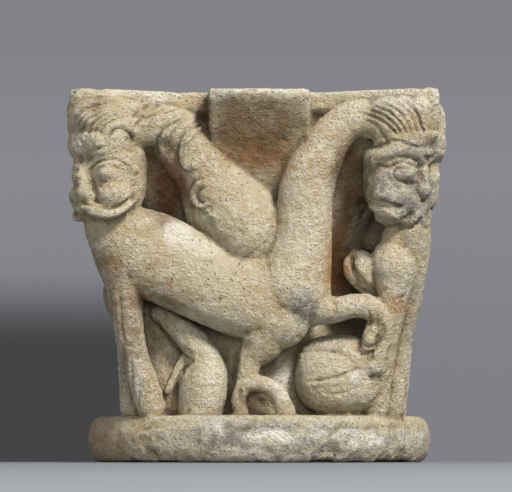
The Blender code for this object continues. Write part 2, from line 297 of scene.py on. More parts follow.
def buildHead(look, reach, breadth, tuck, chin, browDrop):
    def place(side, forward, up):
        out = head["out"] + reach + forward - tuck * max(0.0, head["chinLine"] - up)
        return look @ Vector((side * breadth * unit, -out * unit, setOut(0, 0, up).z))

    for mass in [*head["masses"], head["chin"]]:
        side, forward, up, *radii = mass
        wide = breadth * chin if mass is head["chin"] else breadth
        sizes = [radii[0] * wide * unit, radii[1] * unit, radii[2] * unit]
        addBall("mass", place(side, forward, up), sizes, look, head["squareness"])
    for side in (-1, 1):
        yaw = look @ Matrix.Rotation(side * math.radians(45), 3, "Z")
        for mass in head["pairs"]:
            addBall("mass", place(side * mass[0], mass[1], mass[2]), [r * unit for r in mass[3:]], yaw)
        for name, drop, slim in (("nose", 0, 0), ("lips", 0, 0), ("brow", browDrop, browDrop / 5)):
            knots = [(place(side * s, f, up - drop), (r - slim) * unit) for s, f, up, r in head[name]]
            addLimb(name, knots)


def buildSide(quarter, side):
    turn = Matrix.Rotation(quarter * math.pi / 2, 4, "Z")
    made = []
    for name, points in side["forms"].items():
        knots = [(setOut(x, out, up, side["relief"]), radius * unit) for x, out, up, radius in points]
        made += addLimb(name, knots, flatness.get(name, 1.0))
    if side["fruit"]:
        for place, radii in fruit["balls"]:
            where = setOut(*place, side["relief"])
            made.append(addBall("fruit", where, [r * unit for r in radii], squareness=fruit["squareness"]))
    for obj in made:
        obj.matrix_basis = turn @ obj.matrix_basis
    buildConsole(turn.to_3x3())
    look = Matrix.Rotation(quarter * math.pi / 2 - math.pi / 4, 3, "Z")
    buildHead(look, **side["head"])


buildCore()
for quarter, side in enumerate(sides):
    buildSide(quarter, side)
bpy.context.view_layer.update()
graph = bpy.context.evaluated_depsgraph_get()
bm = bmesh.new()
for obj in list(carving.objects):
    mesh = bpy.data.meshes.new_from_object(obj.evaluated_get(graph))
    mesh.transform(obj.matrix_world)
    bm.from_mesh(mesh)
for obj in list(carving.objects):
    bpy.data.objects.remove(obj)
bpy.data.collections.remove(carving)
mesh = bpy.data.meshes.new("capitalStone")
bm.to_mesh(mesh)
bm.free()
capital = bpy.data.objects.new("capitalStone", mesh)
scene.collection.objects.link(capital)


def applyModifiers(obj):
    bpy.context.view_layer.update()
    graph = bpy.context.evaluated_depsgraph_get()
    mesh = bpy.data.meshes.new_from_object(obj.evaluated_get(graph))
    obj.modifiers.clear()
    obj.data = mesh


fuse = capital.modifiers.new("fuse", "REMESH")
fuse.mode = "VOXEL"
fuse.voxel_size = stone["voxel"]
soften = capital.modifiers.new("soften", "SMOOTH")
soften.factor = 0.5
soften.iterations = stone["soften"]
applyModifiers(capital)
print("stone roughed out,", len(capital.data.vertices), "points")


def readMesh(mesh):
    count = len(mesh.vertices)
    points, normals = np.empty(count * 3, np.float32), np.empty(count * 3, np.float32)
    mesh.vertices.foreach_get("co", points)
    mesh.vertex_normals.foreach_get("vector", normals)
    return points.reshape(-1, 3).astype(float), normals.reshape(-1, 3).astype(float)


def writePoints():
    capital.data.vertices.foreach_set("co", points.astype(np.float32).ravel())
    capital.data.update()


lattice = np.random.default_rng(7).uniform(-1, 1, (32, 32, 32))


def noise(points, size, seed=0):
    # smooth random values from -1 to 1, about one hump per size
    p = points / size + seed * 7.31
    cell = np.floor(p).astype(int)
    t = p - cell
    t = t * t * (3 - 2 * t)
    total = np.zeros(len(p))
    for dx in (0, 1):
        for dy in (0, 1):
            for dz in (0, 1):
                corner = lattice[(cell[:, 0] + dx) % 32, (cell[:, 1] + dy) % 32, (cell[:, 2] + dz) % 32]
                weight = (t[:, 0] if dx else 1 - t[:, 0]) * (t[:, 1] if dy else 1 - t[:, 1])
                total += corner * weight * (t[:, 2] if dz else 1 - t[:, 2])
    return total


def roughNoise(points, size, octaves=3, seed=0):
    total = sum(noise(points, size / 2 ** k, seed + k) / 2 ** k for k in range(octaves))
    return total / (2 - 2 ** (1 - octaves))


points, normals = readMesh(capital.data)

# Strokes are drawn as seen through the camera, in its 512 by 492 units.
seen = np.array(camera.matrix_world.inverted())


def onSheet(places):
    local = places @ seen[:3, :3].T + seen[:3, 3]
    depth = -local[:, 2]
    sheet = np.empty((len(places), 2))
    sheet[:, 0] = view["across"] / 2 + view["focal"] * local[:, 0] / depth
    sheet[:, 1] = view["down"] / 2 - view["focal"] * local[:, 1] / depth
    return sheet


def smoothLine(knots, step=0.7):
    p = np.array(knots, float)
    if len(p) == 1:
        return p
    p = np.vstack([2 * p[0] - p[1], p, 2 * p[-1] - p[-2]])
    line = []
    for a, b, c, d in zip(p, p[1:], p[2:], p[3:]):
        count = max(2, int(np.linalg.norm(c - b) / step))
        for t in np.arange(count) / count:
            line.append(0.5 * (2 * b + (c - a) * t + (2 * a - 5 * b + 4 * c - d) * t * t
                               + (3 * b - a - 3 * c + d) * t ** 3))
    line.append(p[-2])
    return np.array(line)


# How a stroke is shaped: pairs are where a change starts and ends, the trough lies beside a step.
tool = {"reach": 1.6, "endShare": 0.35, "endRun": 6, "lip": (-1.4, 0.6), "fall": 1.2, "dotCurve": 1.0,
        "lineCurve": 1.6, "troughAside": 1.0, "troughWidth": 1.8, "troughReach": 3, "troughShare": 0.55}


def pushed(sheet, stroke):
    # how far a stroke moves each point out, in millimetres
    kind, width, depth, knots = stroke
    line = smoothLine(knots)
    reach = width * tool["reach"]
    inside = np.all((sheet > line.min(axis=0) - reach) & (sheet < line.max(axis=0) + reach), axis=1)
    found = np.nonzero(inside)[0]
    if not len(found):
        return found, np.zeros(0)
    offset = sheet[found, None, :] - line[None, :, :]
    distance = np.linalg.norm(offset, axis=2)
    nearest = distance.argmin(axis=1)
    distance = distance[np.arange(len(found)), nearest]
    along = nearest / max(1, len(line) - 1)
    taper = 1.0
    if len(line) > 1:
        run = np.clip(np.minimum(along, 1 - along) * tool["endRun"], 0, 1)
        taper = tool["endShare"] + (1 - tool["endShare"]) * run
    if kind == "step":
        # raised on the left of the line, dying away; a crisp edge on the right
        way = np.gradient(line, axis=0)[nearest]
        gap = sheet[found] - line[nearest]
        side = (way[:, 0] * gap[:, 1] - way[:, 1] * gap[:, 0]) / np.linalg.norm(way, axis=1)
        rise = smoothStep(*tool["lip"], -side) * np.clip(1 - distance / width, 0, 1) ** tool["fall"]
        trough = np.clip(1 - np.abs(side - tool["troughAside"]) / tool["troughWidth"], 0, 1)
        trough *= distance < tool["troughReach"]
        return found, depth * (rise - tool["troughShare"] * trough) * taper
    curve = tool["dotCurve" if kind == "dot" else "lineCurve"]
    bowl = np.clip(1 - (distance / width) ** 2, 0, 1) ** curve
    return found, depth * bowl * taper


def locks(kind, width, depth, first, last, count):
    # strokes spread evenly between two guide lines
    first, last = np.array(first, float), np.array(last, float)
    return [(kind, width, depth, first + (last - first) * k / (count - 1)) for k in range(count)]


# Each stroke: kind, half width, depth in millimetres (below nothing cuts in), line.
leftHead = {
    "hair": locks("cut", 2.4, -2.6, [(69, 130), (77, 117), (91, 107), (107, 102), (124, 100)],
                  [(99, 133), (106, 125), (118, 119), (132, 116), (148, 117)], 6),
    "brow": [("dot", 17, 2.2, [(108, 171)]),
             ("ridge", 5.0, 1.6, [(92, 158), (102, 153), (112, 152), (124, 155), (136, 163)])],
    "eyeball": [("ridge", 6.5, 1.6, [(101, 174), (108, 173), (115, 174)])],
    "upperLid": [("cut", 2.0, -2.2, [(88, 173), (95, 165), (106, 160), (118, 160), (127, 165), (132, 170)]),
                 ("ridge", 1.9, 1.0, [(91, 173), (98, 166), (107, 163.5), (117, 164), (124, 168)]),
                 ("cut", 1.7, -1.7, [(94, 175), (100, 169), (108, 167), (116, 168), (122, 172)])],
    "lowerLid": [("cut", 1.7, -1.3, [(95, 178), (100, 181), (107, 183), (114, 181), (120, 176)]),
                 ("cut", 1.6, -0.9, [(97, 185), (109, 187), (118, 183)])],
    "nose": [("dot", 8, 1.6, [(84, 193)]), ("cut", 2.2, -1.3, [(92, 178), (95, 187), (95, 199)])],
    "mouth": [("cut", 2.2, -1.9, [(73, 199), (81, 203), (95, 206), (113, 208), (127, 201), (138, 193)])],
    "lowerLip": [("ridge", 3.2, 1.5, [(80, 207), (88, 213), (106, 216), (122, 211), (134, 202), (139, 196)]),
                 ("cut", 3.2, -1.8, [(78, 214), (92, 220), (106, 222), (118, 219), (130, 210), (139, 201)])],
    "curls": [("dot", 8, 1.2, [(74, 145)]), ("dot", 10, 1.3, [(94, 140)]), ("dot", 11, 1.9, [(119, 141)]),
              ("cut", 1.7, -1.5, [(68, 152), (68, 143), (73, 137), (80, 139), (82, 146), (77, 150)]),
              ("cut", 1.7, -1.6, [(85, 148), (85, 138), (91, 131), (100, 132), (105, 139), (102, 147),
                                  (95, 148), (92, 141)]),
              ("cut", 1.7, -1.8, [(109, 152), (108, 140), (113, 131), (122, 129), (130, 135), (130, 145)])],
    "drilled": [("dot", 2.4, -3.0, [(115, 141)]), ("dot", 2.4, -3.0, [(127, 140)]),
                ("dot", 2.0, -1.4, [(131, 165)])],
    "frown": [("cut", 1.8, -1.2, [(84, 154), (92, 151), (102, 149)])]}
mane = {
    "locks": locks("cut", 1.9, -1.8, [(150, 104), (143, 109), (136, 116), (131, 127)],
                   [(178, 109), (166, 113), (152, 121), (146, 133)], 4)
    + locks("cut", 1.8, -1.6, [(184, 113), (172, 121), (162, 130), (160, 146)],
            [(192, 117), (180, 125), (171, 135), (167, 150)], 3)
    + locks("cut", 1.8, -1.7, [(199, 120), (188, 128), (180, 140), (180, 156)],
            [(207, 128), (197, 135), (189, 145), (187, 158)], 3),
    "tufts": [("step", 13, 3.0, [(172, 112), (152, 117), (140, 123), (133, 131), (134, 142)]),
              ("step", 12, 3.0, [(188, 118), (175, 124), (165, 131), (159, 141), (160, 153)]),
              ("step", 12, 3.0, [(203, 125), (191, 131), (183, 140), (179, 150), (181, 162), (187, 170),
                                 (195, 169)]),
              ("dot", 3.4, 1.8, [(193, 165)])],
    "curl": [("step", 9, 2.8, [(206, 179), (196, 183), (191, 192), (193, 202), (202, 208), (211, 204)]),
             ("cut", 1.8, -2.0, [(206, 186), (199, 191), (198, 198), (203, 203), (208, 200)]),
             ("dot", 4, 1.8, [(205, 195)]), ("ridge", 2.5, 1.4, [(206, 210), (211, 215), (218, 217)]),
             ("cut", 2.0, -1.6, [(190, 205), (197, 212), (206, 213), (212, 212)])]}
rightHead = {
    "hair": locks("cut", 2.3, -2.2, [(357, 112), (372, 116), (382, 121), (391, 128), (400, 137)],
                  [(396, 97), (408, 102), (417, 113), (422, 126), (427, 144)], 6),
    "tuft": [("dot", 7, 1.6, [(379, 134)]), ("cut", 2.0, -1.8, [(379, 130), (384, 137), (388, 144)]),
             ("dot", 4.5, -3.5, [(369, 143)]),
             ("cut", 1.9, -1.2, [(362, 120), (371, 122), (378, 127), (385, 136)])],
    "brow": [("ridge", 7.0, 2.4, [(366, 155), (380, 154), (396, 151), (412, 154), (426, 152), (440, 152)]),
             ("cut", 2.2, -1.8, [(360, 147), (374, 147), (395, 140), (413, 146), (426, 147), (440, 146)]),
             ("cut", 2.2, -2.4, [(378, 165), (387, 167), (399, 163), (408, 163), (418, 167), (430, 163)])],
    "eye": [("ridge", 6.0, 1.8, [(402, 173), (407, 175), (412, 177)]),
            ("cut", 1.9, -1.9, [(393, 172), (399, 168), (408, 168), (416, 171), (419, 177)]),
            ("cut", 1.9, -2.0, [(392, 174), (398, 180), (407, 183), (417, 183)]),
            ("cut", 2.4, -2.0, [(420, 170), (422, 178), (425, 185)])],
    "cheek": [("cut", 1.7, -1.2, [(385, 172), (391, 180), (399, 187), (410, 190)]),
              ("dot", 4.5, -2.2, [(381, 191)]), ("dot", 2.2, 1.2, [(381, 191)]),
              ("dot", 8, 1.6, [(404, 193)])],
    "nose": [("dot", 7, 2.0, [(428, 190)]), ("dot", 3.0, -2.0, [(431, 201)]),
             ("cut", 2.0, -1.4, [(416, 188), (420, 196), (425, 202)])],
    "mouth": [("cut", 2.2, -2.6, [(377, 199), (388, 203), (396, 205), (403, 207)]),
              ("dot", 6.5, -3.0, [(410, 212)]), ("dot", 5.0, -1.8, [(418, 209)])],
    "chin": [("cut", 3.4, -4.5, [(434, 203), (428, 213), (421, 221), (413, 227), (402, 228)]),
             ("ridge", 3.2, 1.6, [(379, 206), (388, 212), (399, 219), (408, 222)]),
             ("dot", 10, -4.0, [(367, 218)]), ("dot", 9, -3.0, [(362, 205)])],
    "profile": [("dot", 10, -3.0, [(440, 168)]), ("dot", 11, -5.0, [(440, 184)]),
                ("dot", 11, -5.0, [(438, 198)])],
    "crown": [("ridge", 9, 5.0, [(423, 133), (432, 134), (443, 132)]), ("dot", 12, -2.5, [(432, 118)]),
              ("cut", 2.2, -1.0, [(436, 106), (441, 116), (443, 130), (441, 144)])]}
# the far half of the left head is seen edge on
body = {
    "farHalf": [("ridge", 6, 5.0, [(79, 163), (79, 171), (80, 181)]), ("dot", 9, -5.0, [(71, 218)]),
                ("dot", 8, -1.5, [(69, 175)]), ("dot", 5, -3.0, [(69, 203)])],
    "fruit": [("cut", 2.2, -2.0, [(300, 352), (315, 350), (332, 351), (348, 357), (360, 368)]),
              ("cut", 2.4, -2.0, [(308, 382), (322, 380), (336, 377), (350, 372), (360, 368)]),
              ("ridge", 3.0, 0.9, [(310, 385), (326, 383), (342, 379)]), ("dot", 8, 2.2, [(370, 368)]),
              ("cut", 1.8, -1.3, [(361, 355), (364, 362), (366, 372), (372, 380)]),
              ("dot", 4.5, 1.8, [(377, 355)]), ("dot", 4, -1.2, [(354, 368)]),
              ("cut", 1.6, -0.9, [(318, 392), (335, 394), (352, 390), (366, 384)])],
    "tailTuft": [("cut", 2.0, -1.8, [(353, 258), (353, 266), (357, 274), (364, 282), (371, 288)]),
                 ("cut", 2.0, -1.6, [(352, 252), (351, 262), (353, 270)]),
                 ("ridge", 2.5, 0.9, [(349, 261), (351, 272), (357, 282), (364, 289)])],
    "raisedPaw": [("cut", 1.8, -1.4, [(367, 308), (370, 316), (370, 324), (366, 333), (361, 341)]),
                  ("cut", 1.8, -1.3, [(381, 322), (384, 330), (382, 339), (375, 345)]),
                  ("dot", 5.5, 1.5, [(370, 341)]), ("cut", 2.0, -1.2, [(362, 345), (370, 347), (378, 344)]),
                  ("cut", 1.6, -0.9, [(374, 308), (377, 318), (378, 330)])],
    "standingLeg": [("cut", 2.2, -1.8, [(236, 340), (235, 356), (234, 372), (232, 384)]),
                    ("cut", 2.0, -1.5, [(240, 386), (240, 396), (242, 408)]),
                    ("dot", 10, -3.5, [(254, 401)]), ("dot", 7, -2.5, [(263, 404)])],
    "hindLeg": [("cut", 2.0, -1.3, [(150, 375), (155, 384), (160, 394), (163, 406)]),
                ("cut", 1.8, -1.2, [(131, 352), (132, 372), (132, 392), (132, 411)]),
                ("cut", 1.8, -1.3, [(140, 382), (139, 392), (138, 402), (138, 411)]),
                ("ridge", 5, 1.4, [(142, 372), (149, 386), (152, 402), (152, 411)])],
    "cornerStrip": [("cut", 1.8, -1.2, [(120, 290), (121, 310), (122, 330), (126, 345)]),
                    ("cut", 1.6, -1.0, [(114, 300), (116, 330), (119, 360), (121, 395)]),
                    ("cut", 1.6, -0.9, [(109, 285), (112, 315), (114, 350), (116, 385)])],
    "bentLeg": [("cut", 2.0, -1.4, [(181, 352), (188, 358), (193, 361), (187, 366), (180, 374), (175, 386),
                                    (173, 402)]),
                ("cut", 1.8, -1.2, [(155, 318), (166, 334), (178, 349), (188, 358)]),
                ("ridge", 2.6, 0.9, [(176, 364), (170, 374), (165, 386)]),
                ("cut", 1.6, -0.9, [(228, 383), (228, 395), (231, 406)])],
    "elbow": [("cut", 2.6, -1.6, [(330, 300), (336, 306), (333, 316), (326, 324)])],
    "neckFoot": [("cut", 2.0, -1.0, [(236, 262), (250, 255), (262, 246), (270, 236), (272, 215),
                                     (274, 195)])],
    "nicks": [("cut", 1.6, -0.8, [(160, 222), (163, 227), (165, 233)]), ("dot", 4, -1.2, [(219, 300)])]}
# how far out and how squarely a surface must stand to take a stroke, and where a head's half is
carved = {"finished": 0.075, "plain": 0.07, "head": 0.08, "edgeOn": 0.12, "faceOn": -0.25,
          "headSide": 0.07, "headSeam": 0.002, "headFoot": 0.185, "farShare": 0.3, "mirrorShare": 0.6,
          "rightShare": 0.5}


def strike(groups, turn, nearOut, region=None, share=1.0):
    # carve the strokes into the part of the stone that the turn brings to the front
    places = points @ turn.T
    facing = normals @ turn.T
    chosen = (places[:, 1] < -nearOut) & (facing[:, 1] < carved["edgeOn"])
    if region is not None:
        chosen &= region(places)
    index = np.nonzero(chosen)[0]
    sheet = onSheet(places[index])
    for stroke in [stroke for group in groups.values() for stroke in group]:
        found, push = pushed(sheet, stroke)
        where = index[found]
        fade = smoothStep(carved["edgeOn"], carved["faceOn"], facing[where, 1])
        points[where] += normals[where] * (push * fade * share / 1000)[:, None]


def frontRight(places):
    x, y, z = places.T
    return (x > carved["headSide"]) & (-y >= x - carved["headSeam"]) & (z > carved["headFoot"])


def frontLeft(places):
    return frontRight(places * (-1, 1, 1))


quarterTurns = [np.array(Matrix.Rotation(-k * math.pi / 2, 3, "Z")) for k in range(4)]
overLeft = np.array([[0, 1, 0], [1, 0, 0], [0, 0, 1.0]])     # swaps the two halves of the left head
overRight = np.array([[0, -1, 0], [-1, 0, 0], [0, 0, 1.0]])
for k, turn in enumerate(quarterTurns):
    nearOut = carved["finished"] if k < 2 else carved["plain"]
    strike(body | mane if sides[k]["fruit"] else mane, turn, nearOut)
    if k != 1:
        strike(leftHead, turn, carved["head"], frontLeft)
        mirrored = carved["mirrorShare"] if k else carved["farShare"]
        strike(leftHead, overLeft @ turn, carved["head"], frontLeft, mirrored)
strike(rightHead, quarterTurns[0], carved["head"], frontRight)
strike(rightHead, overRight @ quarterTurns[0], carved["head"], frontRight, carved["rightShare"])
writePoints()
print("strokes carved")

# age: undulation, tooling and pits, depths in millimetres; pairs are where a change starts and ends
wear = {"swell": 0.45, "swellSize": 0.022, "grain": 0.42, "grainSize": 0.006, "fine": 0.32,
        "fineSize": 0.0028, "pits": 2.2, "pitSize": 0.0055, "pitLevel": 0.55,
        "hiddenShare": 0.35, "hidden": (0.03, -0.05)}
move = wear["swell"] * roughNoise(points, wear["swellSize"], 2, 1)
move += wear["grain"] * roughNoise(points, wear["grainSize"], 2, 5)
move += wear["fine"] * noise(points, wear["fineSize"], 15)
move -= np.clip(noise(points, wear["pitSize"], 9) - wear["pitLevel"], 0, 1) * wear["pits"]
# the hidden sides are plainer
move *= wear["hiddenShare"] + (1 - wear["hiddenShare"]) * smoothStep(*wear["hidden"], points[:, 1])
# the front's two faces stay crisper
faces = {"corner": 0.118, "spared": 0.6, "near": (0.07, 0.04), "up": (0.18, 0.20)}
corner = np.abs(np.abs(points[:, 0]) - faces["corner"]) + np.abs(points[:, 1] + faces["corner"])
move *= 1 - faces["spared"] * smoothStep(*faces["near"], corner) * smoothStep(*faces["up"], points[:, 2])
# the ring's front is flaked in terraces
spall = {"depth": 2.4, "least": 0.15, "most": 0.75, "azimuth": 14, "turn": (78, 50),
         "up": (0.040, 0.028), "over": 0.003, "inside": 0.125, "flakeSize": 0.016, "flakes": (0.0, 0.15),
         "flakeShare": 0.5, "terraceSize": 0.030, "terraces": (-0.10, 0.06)}
angle = np.degrees(np.arctan2(points[:, 0], -points[:, 1]))
onRing = points[:, 2] < stone["ring"] + spall["over"]
onRing &= np.hypot(points[:, 0], points[:, 1]) > spall["inside"]
spalled = onRing * smoothStep(*spall["turn"], np.abs(angle - spall["azimuth"]))
spalled *= smoothStep(*spall["up"], points[:, 2])
flake = roughNoise(points, spall["flakeSize"], 3, 12)
terrace = smoothStep(*spall["terraces"], roughNoise(points, spall["terraceSize"], 2, 40))
terrace += spall["flakeShare"] * smoothStep(*spall["flakes"], flake)
move -= spalled * spall["depth"] * (spall["least"] + spall["most"] * terrace)
# knocks along the slab's edge and the corners, each a place and a radius in millimetres
knocks = [(-151, -151, 300, 7), (151, -151, 301, 6), (-96, -127, 303, 5), (-64, -120, 302, 4),
          (22, -150, 303, 4), (-14, -150, 302, 3.5), (44, -149, 300, 5), (-42, -149, 301, 4.5),
          (102, -131, 303, 4), (134, -146, 302, 4), (-128, -143, 303, 4.5), (151, 151, 300, 9),
          (-151, 151, 300, 11), (150, 40, 302, 6), (-30, 151, 302, 8), (-150, -60, 303, 5),
          (-36, -141, 20, 5), (-47, -138, 26, 4), (8, -146, 7, 4), (64, -131, 9, 5)]
knock = {"reach": 1.5, "depth": 0.55}
sink = np.zeros(len(points))
for x, y, z, radius in knocks:
    away = np.linalg.norm(points * 1000 - (x, y, z), axis=1)
    dent = np.clip(1 - away / (radius * knock["reach"]), 0, 1) * radius * knock["depth"]
    sink = np.maximum(sink, dent)
points += normals * ((move - sink) / 1000)[:, None]
# the slab's right front corner is broken back
broken = {"depth": 0.0042, "across": (0.125, 0.15), "out": (-0.10, -0.14), "up": (0.262, 0.276)}
share = smoothStep(*broken["across"], points[:, 0]) * smoothStep(*broken["out"], points[:, 1])
points[:, 0] -= broken["depth"] * share * smoothStep(*broken["up"], points[:, 2])
points[:, 2] = np.clip(points[:, 2], 0.0, height)
points[:, :2] = np.clip(points[:, :2], low[:2], high[:2])
writePoints()

triangles = 2 * len(capital.data.polygons)
thin = capital.modifiers.new("thin", "DECIMATE")
thin.ratio = min(1.0, stone["triangles"] / triangles)
applyModifiers(capital)
# crumbs that thinning leaves are dropped: only what hangs together with the top bed stays
bm = bmesh.new()
bm.from_mesh(capital.data)
reached = set()
waiting = [max(bm.verts, key=lambda vert: vert.co.z)]
while waiting:
    vert = waiting.pop()
    if vert not in reached:
        reached.add(vert)
        waiting += [edge.other_vert(vert) for edge in vert.link_edges]
bmesh.ops.delete(bm, geom=[vert for vert in bm.verts if vert not in reached], context="VERTS")
bm.to_mesh(capital.data)
bm.free()
capital.data.polygons.foreach_set("use_smooth", [True] * len(capital.data.polygons))
points, normals = readMesh(capital.data)
print("worn and thinned,", len(capital.data.polygons), "faces")

# what the material reads: how closed in a hollow, how sharp an edge, and the stains by place; the first two
# paint shade into hollows and grooves
search = {"rays": 18, "quickRays": 10, "lift": 0.0006, "lean": 1.05, "reach": 0.07}
tree = BVHTree.FromPolygons(points.tolist(), [tuple(f.vertices) for f in capital.data.polygons])
rays = search["rays"]
rng = np.random.default_rng(3)
spread = rng.normal(size=(rays, 3))
spread /= np.linalg.norm(spread, axis=1)[:, None]
closed = np.zeros(len(points))
for ray in spread:
    way = ray + normals * search["lean"]
    way /= np.linalg.norm(way, axis=1)[:, None]
    starts = points + normals * search["lift"]
    for i in range(len(points)):
        if tree.ray_cast(starts[i], way[i], search["reach"])[0]:
            closed[i] += 1
closed /= rays
edges = np.empty(len(capital.data.edges) * 2, np.int32)
capital.data.edges.foreach_get("vertices", edges)
edges = edges.reshape(-1, 2)
ends = np.concatenate([edges, edges[:, ::-1]])
neighbours = np.bincount(ends[:, 0], minlength=len(points))


def spreadOut(values, rounds):
    for _ in range(rounds):
        values = np.bincount(ends[:, 0], weights=values[ends[:, 1]], minlength=len(points)) / neighbours
    return values


smoothed = np.column_stack([spreadOut(points[:, k], 3) for k in range(3)])
sharp = ((points - smoothed) * normals).sum(axis=1) * 1000
sharp = spreadOut(sharp, 1)
closed = spreadOut(closed, 2)
print("hollows found")

# stains: colour and place on the sheet, each with its middle, half size and strength; some are painted shade
# and painted light, as noted in each colour
stains = {
    "brown": {
        # painted shade: the brown over the lower left (cornerStrip, underRump, leftEdge, leftFlank, rump,
        # hindLeg, ringLeft) and in the right pocket under the head
        "cornerStrip": (128, 345, 16, 46, 0.55), "underRump": (150, 303, 46, 13, 0.55),
        "ringLeft": (112, 440, 34, 26, 0.25), "besideLeftHead": (152, 164, 12, 20, 0.8),
        "leftEdge": (88, 300, 14, 120, 0.3), "leftFlank": (118, 330, 26, 60, 0.35),
        "ringFoot": (240, 455, 60, 6, 0.3), "legPocket": (160, 335, 14, 20, 0.3),
        "console": (258, 122, 52, 38, 0.85), "consoleFlank": (205, 118, 12, 22, 0.8),
        "manePocket": (165, 190, 24, 40, 0.85), "rightPocket": (350, 185, 22, 44, 1.0),
        "rump": (106, 280, 20, 44, 0.45), "hindLeg": (152, 318, 22, 40, 0.4),
        "ringMiddle": (212, 440, 22, 16, 0.3), "standingFoot": (250, 400, 26, 14, 0.7),
        "besideFruit": (275, 362, 20, 14, 0.6), "bentLeg": (196, 385, 14, 10, 0.2),
        "slabLeft": (92, 102, 22, 8, 0.5)},
    "ochre": {
        # painted light: the ochre on the right pocket's wall and foot (pocketWall, pocketFoot), for a wall
        # the lamps leave in shade; painted shade: the ochre on the leftFlank
        "besideConsole": (340, 135, 22, 24, 0.25), "pocketWall": (336, 226, 12, 40, 0.8),
        "pocketFoot": (337, 270, 14, 34, 1.2), "consoleFoot": (258, 152, 44, 18, 0.8),
        "column": (400, 305, 12, 10, 0.9), "neck": (322, 180, 20, 30, 0.2),
        "slabLeft": (188, 102, 14, 8, 0.3), "underConsole": (285, 165, 16, 14, 0.5),
        "rump": (130, 290, 22, 26, 0.35), "ringLeft": (110, 440, 24, 22, 0.6),
        "rightCheek": (390, 175, 16, 12, 0.5), "belly": (258, 300, 26, 14, 0.35),
        "columnTop": (395, 250, 16, 18, 0.3), "leftFlank": (106, 280, 16, 34, 0.3)},
    "grey": {
        "ring": (300, 440, 130, 20, 1.0), "shoulder": (304, 308, 15, 22, 1.0),
        "muzzle": (412, 200, 30, 26, 1.0), "rightBrow": (420, 150, 26, 14, 0.9),
        "rightEye": (402, 178, 20, 12, 1.0), "rightCheek": (390, 188, 22, 28, 0.8),
        "ringLeft": (215, 436, 24, 18, 1.0), "leftCurl": (118, 138, 12, 9, 0.3),
        "column": (410, 300, 14, 50, 0.4), "rightHair": (395, 110, 30, 16, 0.3),
        "fruitEnd": (364, 380, 12, 12, 0.6), "fruitTop": (330, 345, 20, 8, 0.4),
        "ringMiddle": (225, 440, 40, 16, 0.6), "slabMiddle": (222, 98, 16, 12, 0.5)},
    "pale": {
        # painted light: the pale beside the fruit (besideFruit) lightens a surface that the fruit shades
        "slabRight": (412, 100, 40, 14, 0.55), "besideFruit": (284, 378, 12, 26, 0.8),
        "ringScar": (272, 437, 28, 9, 1.2), "ringTop": (335, 434, 44, 6, 0.8),
        "ringRight": (365, 441, 26, 8, 1.1), "ringEnd": (410, 438, 16, 12, 0.45),
        "hindLeg": (135, 380, 10, 30, 0.5), "cornerStrip": (116, 360, 6, 44, 0.6),
        "back": (178, 234, 16, 14, 0.9), "slabChip": (160, 97, 16, 8, 0.9),
        "chest": (205, 248, 22, 10, 0.5), "temple": (78, 138, 8, 12, 0.6),
        "neckFoot": (300, 240, 26, 22, 0.3), "neck": (330, 205, 14, 30, 0.3),
        "ringLeft": (212, 430, 14, 10, 0.8), "bentFoot": (210, 402, 12, 4, 0.7),
        "bentLeg": (214, 370, 12, 22, 0.3), "slabEdge": (300, 90, 90, 4, 0.8),
        "slabEdgeLeft": (120, 93, 60, 3, 0.6), "slabEdgeRight": (400, 92, 60, 3, 0.6),
        "ringFoot": (260, 455, 60, 6, 0.5), "fruitEnd": (358, 376, 10, 6, 0.8)},
    "red": {
        "underRump": (168, 283, 5, 9, 0.9), "manePocket": (168, 190, 16, 40, 0.8),
        "rightPocket": (348, 262, 5, 26, 0.5), "consoleFoot": (262, 158, 40, 12, 0.4)}}
# how a stain fades, and how much of each colour the hidden sides take
stained = {"turned": (0.35, -0.1), "level": (0.98, 0.85), "edge": (1.25, 0.55), "ripple": 0.35,
           "rippleSize": 0.014, "patchSize": 0.05, "patch": (0.15, 0.6)}
elsewhere = {"brown": 0.0, "ochre": 0.35, "grey": 0.45, "pale": 0.3, "red": 0.0}
sheet = onSheet(points)
facing = smoothStep(*stained["turned"], normals[:, 1]) * smoothStep(*stained["level"], normals[:, 2])
ripple = roughNoise(points, stained["rippleSize"], 3, 20)
masks = {}
for name, places in stains.items():
    value = np.zeros(len(points))
    for x, y, wide, tall, strength in places.values():
        reach = np.hypot((sheet[:, 0] - x) / wide, (sheet[:, 1] - y) / tall)
        spot = strength * smoothStep(*stained["edge"], reach + stained["ripple"] * ripple)
        value = np.maximum(value, spot)
    patches = roughNoise(points, stained["patchSize"], 3, 30 + len(name) + ord(name[0]))
    hidden = smoothStep(*stained["patch"], patches) * elsewhere[name]
    masks[name] = value * facing + (1 - facing) * hidden
fields = {"hollow": closed, "sharp": np.clip(sharp, -1, 1), **masks}
for name, values in fields.items():
    layer = capital.data.attributes.new(name, "FLOAT", "POINT")
    layer.data.foreach_set("value", values.astype(np.float32))


